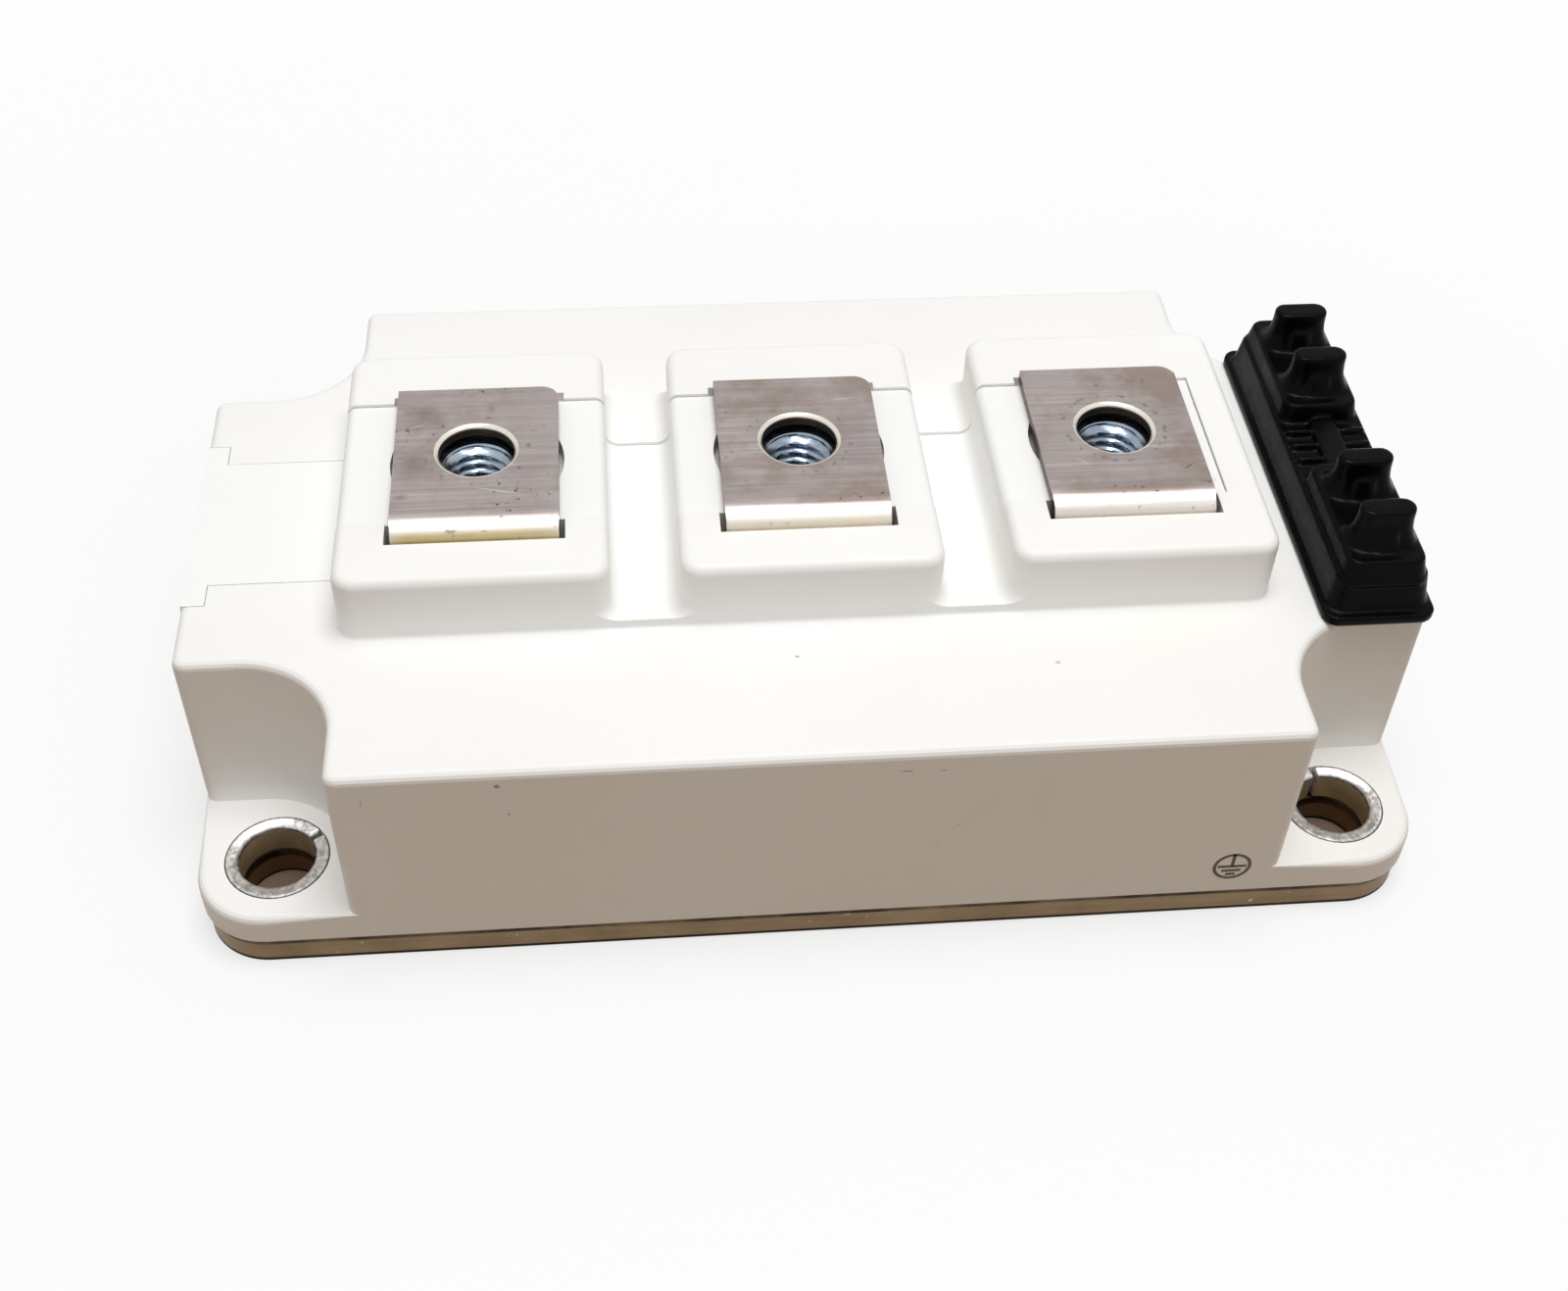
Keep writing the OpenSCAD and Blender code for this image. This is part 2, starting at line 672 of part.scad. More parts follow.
baseplate();
housing();
nut_carrier();
nut(-1);  // nut_1
nut(0);  // nut_2
nut(1);  // nut_3
terminal(-1);  // terminal_1
terminal(0);  // terminal_2
terminal(1);  // terminal_3
sleeve(-1, -1, 35);  // sleeve_front_left
sleeve(1, -1, 100);  // sleeve_front_right
sleeve(-1, 1, -70);  // sleeve_back_left
sleeve(1, 1, 200);  // sleeve_back_right
control_tab(CONTROLS[0]);  // control_tab_1
control_tab(CONTROLS[1]);  // control_tab_2
control_tab(CONTROLS[2]);  // control_tab_3
control_tab(CONTROLS[3]);  // control_tab_4
esd_cap();
adhesive_bead();
gel_fill();
base_solder(-1);  // base_solder_left
backing_copper(-1);  // backing_copper_left
ceramic(-1);  // ceramic_left
circuit_copper(-1);  // circuit_copper_left
chip_solder(-1);  // chip_solder_left
igbt_chips(-1);  // igbt_chips_left
diode_chips(-1);  // diode_chips_left
bond_wires(-1);  // bond_wires_left
base_solder(1);  // base_solder_right
backing_copper(1);  // backing_copper_right
ceramic(1);  // ceramic_right
circuit_copper(1);  // circuit_copper_right
chip_solder(1);  // chip_solder_right
igbt_chips(1);  // igbt_chips_right
diode_chips(1);  // diode_chips_right
bond_wires(1);  // bond_wires_right
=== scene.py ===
import json
import math

import bmesh
import bpy
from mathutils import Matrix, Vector


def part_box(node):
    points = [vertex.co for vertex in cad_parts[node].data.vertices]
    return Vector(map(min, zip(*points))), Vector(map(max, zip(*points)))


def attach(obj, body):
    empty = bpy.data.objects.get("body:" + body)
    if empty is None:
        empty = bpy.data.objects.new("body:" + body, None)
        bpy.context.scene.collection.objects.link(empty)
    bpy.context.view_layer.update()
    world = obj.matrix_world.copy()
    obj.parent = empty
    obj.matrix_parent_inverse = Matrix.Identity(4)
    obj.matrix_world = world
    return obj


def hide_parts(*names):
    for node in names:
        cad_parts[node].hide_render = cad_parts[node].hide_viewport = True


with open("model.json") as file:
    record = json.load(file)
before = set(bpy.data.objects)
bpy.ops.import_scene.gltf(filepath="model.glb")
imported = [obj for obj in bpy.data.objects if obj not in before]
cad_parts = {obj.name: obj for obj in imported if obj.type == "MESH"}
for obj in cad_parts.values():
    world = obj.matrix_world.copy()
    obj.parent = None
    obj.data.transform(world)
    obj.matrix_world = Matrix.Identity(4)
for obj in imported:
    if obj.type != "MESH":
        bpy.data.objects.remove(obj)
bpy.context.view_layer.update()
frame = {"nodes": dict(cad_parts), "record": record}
nodes = frame["nodes"]
MM = 0.001  # every length below is in millimetres, unless it says metres
AXES = (0, 1, 2)
PITCH = 28  # between the terminals' screws
LEG_FRONT = 10.4  # from a screw's axis to the front of the terminal's leg
SCREW_X, SCREW_Y = 46.5, 24  # the mounting screws, from the middle
SHARP = math.radians(30)  # an edge with at least this turn gets a soft edge
FLOOR_BOUNCE = (0.31, 0.18, 0.07, 1)  # the colour that the floor throws back at the part


# ---- Materials ----

def srgb(r, g, b):
    """Linear colour of an 8-bit sRGB colour."""
    def linear(c):
        return c / 255 / 12.92 if c <= 10 else ((c / 255 + 0.055) / 1.055) ** 2.4

    return linear(r), linear(g), linear(b), 1.0


WEAR = srgb(118, 104, 92)


class Paint:
    """A node material under construction, with short ways to add its nodes."""

    def __init__(self, name, **settings):
        self.material = bpy.data.materials.new(name)
        self.material.use_nodes = True
        self.tree = self.material.node_tree
        self.shader = self.tree.nodes["Principled BSDF"]
        for key, value in settings.items():
            self.shader.inputs[key.replace("_", " ")].default_value = value
        self.place = self.add("ShaderNodeTexCoord").outputs["Object"]

    def add(self, kind, **inputs):
        node = self.tree.nodes.new(kind)
        for key, value in inputs.items():
            self.plug(node.inputs[key.replace("_", " ")], value)
        return node

    def plug(self, socket, value):
        """Links a socket's output, or sets a plain value."""
        if isinstance(value, bpy.types.NodeSocket):
            self.tree.links.new(value, socket)
        else:
            socket.default_value = value

    def scaled(self, x, y, z, turn=0.0):
        """The object's place, scaled and turned about Z, for noise that runs in lines."""
        return self.add("ShaderNodeMapping", Vector=self.place, Scale=(x, y, z),
                        Rotation=(0, 0, math.radians(turn))).outputs[0]

    def noise(self, scale, detail=3.0, roughness=0.55, vector=None):
        return self.add("ShaderNodeTexNoise", Vector=vector or self.place, Scale=scale, Detail=detail,
                        Roughness=roughness).outputs["Fac"]

    def ramp(self, fac, *stops):
        """Each stop is (position, grey level or colour)."""
        node = self.add("ShaderNodeValToRGB", Fac=fac)
        ends = node.color_ramp.elements
        while len(ends) < len(stops):
            ends.new(0.5)
        for end, (at, value) in zip(ends, stops):
            end.position = at
            end.color = value if isinstance(value, tuple) else (value, value, value, 1.0)
        return node.outputs["Color"]

    def mix(self, fac, a, b, blend="MIX"):
        node = self.add("ShaderNodeMix")
        node.data_type, node.blend_type = "RGBA", blend
        for name, value in (("Factor", fac), ("A", a), ("B", b)):
            kind = "VALUE" if name == "Factor" else "RGBA"
            self.plug(next(i for i in node.inputs if i.name == name and i.type == kind), value)
        return next(o for o in node.outputs if o.type == "RGBA")

    def maths(self, operation, a, b=0.0):
        node = self.add("ShaderNodeMath")
        node.operation = operation
        self.plug(node.inputs[0], a)
        self.plug(node.inputs[1], b)
        return node.outputs[0]

    def parts(self):
        """X, Y and Z of the object's place."""
        return self.add("ShaderNodeSeparateXYZ", Vector=self.place).outputs

    def joined(self, operation, value, *others):
        for other in others:
            value = self.maths(operation, value, other)
        return value

    def product(self, *values):
        return self.joined("MULTIPLY", *values)

    def most(self, *values):
        return self.joined("MAXIMUM", *values)

    def reach(self, x, y):
        """The length of (x, y)."""
        return self.maths("SQRT", self.maths("ADD", self.product(x, x), self.product(y, y)))

    def fade(self, value, full, none):
        """1 where value is past full, 0 where it is past none."""
        low, high = sorted((full, none))
        return self.add("ShaderNodeMapRange", Value=value, From_Min=low * MM, From_Max=high * MM,
                        To_Min=float(full < none), To_Max=float(full > none)).outputs[0]

    def mark(self, middle, size, turn=0.0, core=0.55):
        """1 in the core of a small ellipsoid, such as a speck or a scratch, fading to 0 at its surface."""
        near = self.add("ShaderNodeMapping", Vector=self.place, Location=tuple(m * MM for m in middle),
                        Scale=tuple(w / 2 * MM for w in size), Rotation=(0, 0, math.radians(turn)))
        near.vector_type = "TEXTURE"
        far = self.add("ShaderNodeVectorMath")
        far.operation = "LENGTH"
        self.plug(far.inputs[0], near.outputs[0])
        return self.ramp(far.outputs["Value"], (core, 1.0), (1.0, 0.0))

    def colour(self, value):
        self.plug(self.shader.inputs["Base Color"], value)

    def rough(self, value):
        self.plug(self.shader.inputs["Roughness"], value)

    def bump(self, *layers):
        """Each layer is (height, strength, distance in metres)."""
        normal = None
        for height, strength, distance in layers:
            node = self.add("ShaderNodeBump", Height=height, Strength=strength, Distance=distance)
            if normal:
                self.plug(node.inputs["Normal"], normal)
            normal = node.outputs["Normal"]
        self.plug(self.shader.inputs["Normal"], normal)


def moulded_plastic(name, light, dark, marks=()):
    """Fine matt moulding with a few specks, and marks that are each (middle, size, turn in degrees)."""
    p = Paint(name, Specular_IOR_Level=0.4)
    cloud = p.noise(28, 4)
    grain = p.noise(2600, 2)
    tone = p.mix(p.ramp(cloud, (0.35, 0.0), (0.7, 1.0)), light, dark)
    specks = p.product(p.ramp(p.noise(900, 1), (0.80, 0.0), (0.83, 0.7)),
                       p.ramp(p.noise(60, 2), (0.5, 0.0), (0.6, 1.0)))
    worn = p.product(p.most(*[p.mark(*mark) for mark in marks], 0.0),
                     p.ramp(p.noise(1500, 3), (0.35, 0.2), (0.65, 0.75)))
    p.colour(p.mix(p.most(specks, worn), tone, WEAR))
    p.rough(p.ramp(p.noise(420, 3), (0.3, 0.42), (0.75, 0.56)))
    p.bump((grain, 0.12, 0.00006), (p.noise(90, 2), 0.10, 0.0003))
    return p


def plated_metal(name, light, dark, rough=(0.3, 0.45), turn=0.0, streak=(60, 1800, 1800)):
    """Metal with streaks: the smallest number of streak is the axis that they run along."""
    p = Paint(name, Metallic=1.0)
    lines = p.noise(1, 4, 0.7, p.scaled(*streak, turn))
    cloud = p.noise(160, 4)
    p.colour(p.mix(p.ramp(p.mix(0.5, lines, cloud), (0.35, 0.0), (0.65, 1.0)), dark, light))
    p.rough(p.ramp(lines, (0.3, rough[0]), (0.7, rough[1])))
    p.bump((lines, 0.15, 0.00004), (cloud, 0.12, 0.0001))
    return p


CASE_MARKS = (  # on the deck's front half, the front wall, and the deck's ends
    ((19.9, -21.4, 23.2), (0.55, 0.4, 0.5), 20), ((-1.7, -19.4, 23.2), (0.5, 0.35, 0.5), -15),
    ((6.2, -30.7, 21.1), (1.3, 0.6, 0.22), 0), ((9.2, -30.7, 21.0), (0.8, 0.6, 0.2), 0),
    ((-37.2, -30.7, 20.4), (0.13, 0.5, 1.1), 0),
    ((41.5, 10.5, 23.2), (0.5, 0.3, 0.5), 50), ((-46.2, 24.8, 23.2), (0.6, 0.3, 0.5), -35),
)
case = moulded_plastic("case_pbt", srgb(249, 248, 245), srgb(246, 244, 239), CASE_MARKS)
carrier = moulded_plastic("carrier_pbt", srgb(250, 250, 248), srgb(247, 246, 243))
zinc = plated_metal("zinc_plating", srgb(190, 202, 214), srgb(130, 146, 166), (0.16, 0.3), 20,
                    (300, 900, 900))
tab_metal = plated_metal("tab_plating", srgb(190, 182, 172), srgb(160, 150, 140), (0.28, 0.42))
bare_copper = plated_metal("bare_copper", srgb(222, 158, 126), srgb(196, 126, 96), (0.3, 0.45))
solder = plated_metal("solder_metal", srgb(176, 178, 182), srgb(140, 142, 148), (0.3, 0.5), 0,
                      (400, 400, 400))
silicon = plated_metal("silicon_metal", srgb(150, 154, 164), srgb(120, 124, 136), (0.15, 0.25), 45,
                       (800, 100, 100))
wire_metal = plated_metal("aluminium_wire", srgb(222, 223, 227), srgb(196, 198, 204), (0.25, 0.35), 0,
                          (200, 200, 2600))


def base_metal():
    """Nickel-plated copper, brown at its sides, with painted shade along both edges (the gap under the case
    at the top, the contact shadow at the foot) and a few painted glints.
    """
    p = Paint("nickel_plating", Metallic=1.0)
    z = p.parts()[2]
    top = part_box("baseplate")[1][2] / MM
    lines = p.noise(1, 4, 0.7, p.scaled(90, 90, 1500))
    cloud = p.noise(160, 4)
    tone = p.mix(p.ramp(p.mix(0.5, lines, cloud), (0.35, 0.0), (0.65, 1.0)),
                 srgb(112, 92, 65), srgb(142, 120, 92))
    # painted highlight: a few bright glints painted into the colour
    painted_glints = p.product(p.ramp(p.noise(1300, 2), (0.7, 0.0), (0.76, 1.0)),
                       p.ramp(p.noise(140, 2), (0.45, 0.0), (0.6, 1.0)))
    tone = p.mix(painted_glints, tone, srgb(206, 192, 172))
    # painted shade: a dark line near the top of the base's side, for the shadow in the gap under the case
    case_gap_shade = p.product(p.fade(z, top - 0.74, top - 0.88),
                      p.ramp(p.noise(220, 3), (0.36, 0.45), (0.6, 1.0)))
    tone = p.mix(case_gap_shade, tone, srgb(46, 36, 28))
    # painted shadow: the base's bottom edge is painted dark for the contact shadow on the floor
    contact_shadow = p.fade(z, 0.3, 0.42)
    p.colour(p.mix(contact_shadow, tone, srgb(40, 22, 10)))
    p.rough(p.ramp(lines, (0.3, 0.34), (0.7, 0.52)))
    p.bump((lines, 0.15, 0.00004), (cloud, 0.12, 0.0001))
    return p


LIGHT_SCRATCHES = (  # x, y, length, width, turn in degrees
    (-26.3, -5.4, 4.2, 0.17, -15), (-33.2, 3.4, 1.9, 0.1, 24), (4.4, 5.3, 2.4, 0.1, 8),
    (24.3, -4.4, 1.8, 0.1, -40),
)
BEND_SCRATCHES = (  # x, drop below the terminal's top, length, height
    (-28.3, 0.42, 0.9, 0.12), (-27.8, 0.56, 0.9, 0.16), (-27.2, 0.72, 0.9, 0.16), (-29.4, 0.4, 1.6, 0.07),
)
SMUDGES = (  # x, y, width, length
    (-34.2, -5.9, 1.6, 1.0), (-26.8, 5.6, 1.1, 2.0), (-33.6, -1.6, 3.2, 6), (-32.6, 5.2, 3.6, 2.6),
)
BEND_REFLECTION_TINTS = ((-1, 1.0, srgb(206, 187, 138)), (0, 0.45, srgb(228, 212, 176)))  # column, strength, colour of the painted reflection tinted into the lower part of that bend


def terminal_plating():
    """Plating brushed along X, stained and scratched, with a washer's ring and a bare rim round each hole,
    and painted light: painted highlights on the bends, side edges and hole rims, painted reflection tints low
    on the bends, and painted shade on the hole walls and cut sides.
    """
    p = Paint("terminal_plating", Metallic=1.0)
    low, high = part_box("terminal_1")
    top, half = high[2] / MM, (high[0] - low[0]) / 2 / MM
    row = (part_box("nut_2")[0][1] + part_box("nut_2")[1][1]) / 2
    bend = row / MM - LEG_FRONT
    x, y, z = p.parts()
    side = p.maths("ABSOLUTE", x)
    side = p.maths("MINIMUM", side, p.maths("ABSOLUTE", p.maths("SUBTRACT", side, PITCH * MM)))
    away = p.reach(side, p.maths("SUBTRACT", y, row))
    lines = p.noise(1, 3, 0.7, p.scaled(70, 3200, 3200))
    cloud = p.noise(150, 4, 0.6)
    tone = p.mix(p.ramp(p.mix(0.45, lines, cloud), (0.36, 0.0), (0.64, 1.0)),
                 srgb(164, 154, 152), srgb(190, 180, 177))
    stains = p.ramp(p.noise(110, 4, 0.65), (0.5, 0.0), (0.64, 0.85))
    tone = p.mix(stains, tone, srgb(158, 142, 132))

    # painted highlight: the bend and the plate just behind it are painted lighter, widening the lamp's glint
    # there
    bend_highlight = p.fade(y, bend + 1.1, bend + 1.9)
    tone = p.mix(bend_highlight, tone, srgb(232, 226, 216))
    for column, strength, shade in BEND_REFLECTION_TINTS:
        # painted reflection: the lower part of these bends is tinted as if warm surroundings showed in it
        bend_reflection = p.product(p.fade(z, top - 0.92, top - 0.5),
                             p.mark((column * PITCH, bend, top), (20, 20, 20)), strength)
        tone = p.mix(p.product(bend_reflection, p.ramp(cloud, (0.3, 0.7), (0.6, 1.0))), tone, shade)

    smudged = p.product(p.most(*[p.mark((x0, y0, top), (w, l, 2), 0, 0.0) for x0, y0, w, l in SMUDGES]),
                        p.ramp(lines, (0.3, 0.2), (0.7, 0.75)))
    tone = p.mix(smudged, tone, srgb(120, 104, 94))
    specks = p.product(p.ramp(p.noise(1900, 2), (0.63, 0.0), (0.68, 1.0)),
                       p.ramp(p.noise(210, 2), (0.55, 0.0), (0.63, 1.0)))
    washer_ring = p.product(p.fade(away, 4.35, 4.2), p.fade(away, 4.6, 4.75),
                            p.ramp(p.noise(1400, 2), (0.57, 0.0), (0.63, 1.0)), 0.5)
    dark = p.most(specks, washer_ring, p.mark((33.4, -5.6, top), (1.4, 0.16, 0.6), 35),
                  *[p.mark((x0, bend, top - drop), (l, 2, h)) for x0, drop, l, h in BEND_SCRATCHES])
    tone = p.mix(p.product(dark, 0.75), tone, srgb(72, 60, 54))
    light = p.most(*[p.mark((x0, y0, top), (l, w, 0.6), turn) for x0, y0, l, w, turn in LIGHT_SCRATCHES])
    tone = p.mix(p.product(light, 0.7), tone, srgb(226, 219, 212))

    # the bare-cut rim round each hole, painted brighter: partly its own colour, partly a painted highlight
    # for the glint on its chamfer
    bare_rim_highlight = p.fade(away, 3.56, 3.68)
    tone = p.mix(bare_rim_highlight, tone, srgb(244, 238, 226))
    # painted highlight along the plate's side edges near the bend, for the glint on their soft edges
    side_edge_highlight = p.product(p.fade(side, half - 0.16, half - 0.26), p.fade(y, bend + 1.2, bend + 1.6), 0.6)
    tone = p.mix(side_edge_highlight, tone, srgb(224, 216, 210))
    # painted shade: the hole walls and the plate's cut sides, below the top, are painted dark as if in shadow
    hole_wall_shade = p.product(p.fade(away, 3.36, 3.46), p.fade(z, top - 0.42, top - 0.3))
    cut_side_shade = p.product(p.fade(side, half - 0.03, half - 0.08), p.fade(z, top - 0.3, top - 0.2))
    p.colour(p.mix(p.most(hole_wall_shade, cut_side_shade), tone, srgb(96, 78, 64)))
    p.rough(p.ramp(lines, (0.3, 0.3), (0.7, 0.44)))
    p.bump((lines, 0.12, 0.00003), (cloud, 0.15, 0.0001))
    return p


def sleeve_metal():
    """Pressed steel: a rough bright ring at the top, a brown bore, and painted shade in a dark line round its
    outer edge, for the gap to the housing.
    """
    p = Paint("sleeve_steel")
    low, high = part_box("sleeve_back_right")
    outer = (high[0] - low[0]) / 2 / MM
    x, y, z = p.parts()
    away = p.reach(p.maths("SUBTRACT", p.maths("ABSOLUTE", x), (low[0] + high[0]) / 2),
                   p.maths("SUBTRACT", p.maths("ABSOLUTE", y), (low[1] + high[1]) / 2))
    chips = p.noise(2200, 3, 0.7)
    cloud = p.noise(190, 3)
    ring = p.mix(p.ramp(chips, (0.38, 0.0), (0.6, 1.0)), srgb(196, 195, 194), srgb(246, 245, 244))
    bore = p.mix(p.ramp(cloud, (0.38, 0.0), (0.62, 1.0)), srgb(150, 130, 98), srgb(184, 160, 126))
    top = high[2] / MM
    inside = p.product(p.fade(away, outer - 1.12, outer - 1.0), p.fade(z, top - 0.55, top - 0.4))
    p.plug(p.shader.inputs["Metallic"], p.ramp(inside, (0.0, 1.0), (1.0, 0.25)))
    # painted shade: a dark line round the sleeve's outer edge, for the gap between it and the housing
    sleeve_gap_shade = p.fade(away, outer - 0.05, outer - 0.14)
    p.colour(p.mix(sleeve_gap_shade, p.mix(inside, ring, bore), srgb(72, 66, 60)))
    p.rough(p.ramp(chips, (0.3, 0.28), (0.7, 0.5)))
    funnel = (away, 1.0, 0.32)
    p.bump(funnel, (chips, 0.35, 0.00008))
    return p


base_plating, tinned, sleeve_steel = base_metal(), terminal_plating(), sleeve_metal()

rubber = Paint("black_rubber", Specular_IOR_Level=0.06)
rubber.colour(rubber.mix(rubber.ramp(rubber.noise(240, 4), (0.4, 0.0), (0.7, 1.0)), srgb(4, 4, 5),
                         srgb(9, 9, 10)))
rubber.rough(rubber.ramp(rubber.noise(700, 3), (0.3, 0.22), (0.7, 0.34)))
rubber.bump((rubber.noise(1800, 2), 0.2, 0.00006), (rubber.noise(150, 2), 0.2, 0.0003))

glue = Paint("silicone_glue", Specular_IOR_Level=0.5)
glue.colour(glue.mix(glue.noise(300, 3), srgb(92, 90, 86), srgb(70, 68, 66)))
glue.rough(glue.ramp(glue.noise(500, 2), (0.3, 0.35), (0.7, 0.5)))
glue.bump((glue.noise(700, 2), 0.3, 0.0001))

gel = Paint("clear_gel", Transmission_Weight=0.7, IOR=1.41)
gel.colour(gel.mix(gel.noise(60, 2), srgb(236, 232, 216), srgb(226, 222, 204)))
gel.rough(gel.ramp(gel.noise(80, 2), (0.3, 0.03), (0.7, 0.09)))
gel.bump((gel.noise(70, 2), 0.15, 0.0003))

alumina = Paint("alumina", Specular_IOR_Level=0.4)
alumina.colour(alumina.mix(alumina.noise(400, 3), srgb(244, 243, 238), srgb(234, 233, 226)))
alumina.rough(alumina.ramp(alumina.noise(900, 2), (0.3, 0.5), (0.7, 0.65)))
alumina.bump((alumina.noise(1600, 2), 0.2, 0.00005))

ink = Paint("dark_ink", Specular_IOR_Level=0.3)
ink.colour(ink.mix(ink.ramp(ink.noise(2500, 3), (0.35, 0.0), (0.7, 1.0)), srgb(92, 82, 76),
                   srgb(120, 110, 102)))
ink.rough(ink.ramp(ink.noise(900, 2), (0.3, 0.5), (0.7, 0.65)))
ink.bump((ink.noise(2600, 2), 0.12, 0.00006))

SLOTS = {
    "case_plastic": case, "carrier_plastic": carrier, "nickel_copper": base_plating, "zinc_steel": zinc,
    "terminal_metal": tinned, "sleeve_steel": sleeve_steel, "tab_metal": tab_metal,
    "black_rubber": rubber, "adhesive": glue, "gel": gel, "solder": solder, "bare_copper": bare_copper,
    "ceramic_white": alumina, "silicon": silicon, "aluminium_wire": wire_metal,
}
slot_of = {part["node"]: part["material_slot"] for part in frame["record"]["subparts"]}
for name, node in nodes.items():
    for slot in node.material_slots:
        slot.material = SLOTS[slot_of[name]].material


# ---- Soft edges on the CAD nodes ----

def clean_faces(node, dissolve=True):
    """Welds the CAD mesh, and joins its triangles where they lie flat."""
    weld = node.modifiers.new("weld", "WELD")
    weld.merge_threshold = 1e-6  # metres
    if not dissolve:
        return
    flat = node.modifiers.new("flat_faces", "DECIMATE")
    flat.decimate_type, flat.angle_limit = "DISSOLVE", math.radians(0.6)


def round_edges(node, width, segments):
    """Adds the bevel, whose limit the caller sets, and shading that keeps the faces beside it flat."""
    bevel = node.modifiers.new("soft_edges", "BEVEL")
    bevel.width, bevel.segments = width * MM, segments
    bevel.miter_outer, bevel.loop_slide = "MITER_ARC", False
    shade = node.modifiers.new("shading", "WEIGHTED_NORMAL")
    shade.weight, shade.keep_sharp = 60, True
    return bevel


def soften(name, width, segments=2, dissolve=True):
    clean_faces(nodes[name], dissolve)
    bevel = round_edges(nodes[name], width, segments)
    bevel.limit_method, bevel.angle_limit = "ANGLE", SHARP


class Fields:
    """A geometry node group under construction, which works out a number for each edge."""

    def __init__(self, name):
        self.group = bpy.data.node_groups.new(name, "GeometryNodeTree")
        self.group.interface.new_socket("Geometry", in_out="INPUT", socket_type="NodeSocketGeometry")
        self.group.interface.new_socket("Geometry", in_out="OUTPUT", socket_type="NodeSocketGeometry")

    def add(self, kind, operation, *values):
        node = self.group.nodes.new(kind)
        node.operation = operation
        for socket, value in zip(node.inputs, values):
            if isinstance(value, bpy.types.NodeSocket):
                self.group.links.new(value, socket)
            else:
                socket.default_value = value
        return node.outputs[0]

    def maths(self, operation, a, b):
        return self.add("ShaderNodeMath", operation, a, b)

    def store(self, kind, name, value):
        """A node that stores value on each edge under that name."""
        node = self.group.nodes.new("GeometryNodeStoreNamedAttribute")
        node.data_type, node.domain = kind, "EDGE"
        node.inputs["Name"].default_value = name
        self.group.links.new(value, node.inputs["Value"])
        return node

    def inside(self, place, spans):
        """1 where place lies in the box with those spans, else 0."""
        middle = tuple((a + b) / 2 * MM for a, b in spans)
        half = tuple((b - a) / 2 * MM for a, b in spans)
        away = self.add("ShaderNodeVectorMath", "SUBTRACT", place, middle)
        away = self.add("ShaderNodeVectorMath", "ABSOLUTE", away)
        away = self.add("ShaderNodeVectorMath", "DIVIDE", away, half)
        parts = self.group.nodes.new("ShaderNodeSeparateXYZ")
        self.group.links.new(away, parts.inputs[0])
        most = self.maths("MAXIMUM", self.maths("MAXIMUM", parts.outputs[0], parts.outputs[1]),
                          parts.outputs[2])
        return self.maths("LESS_THAN", most, 1.0)


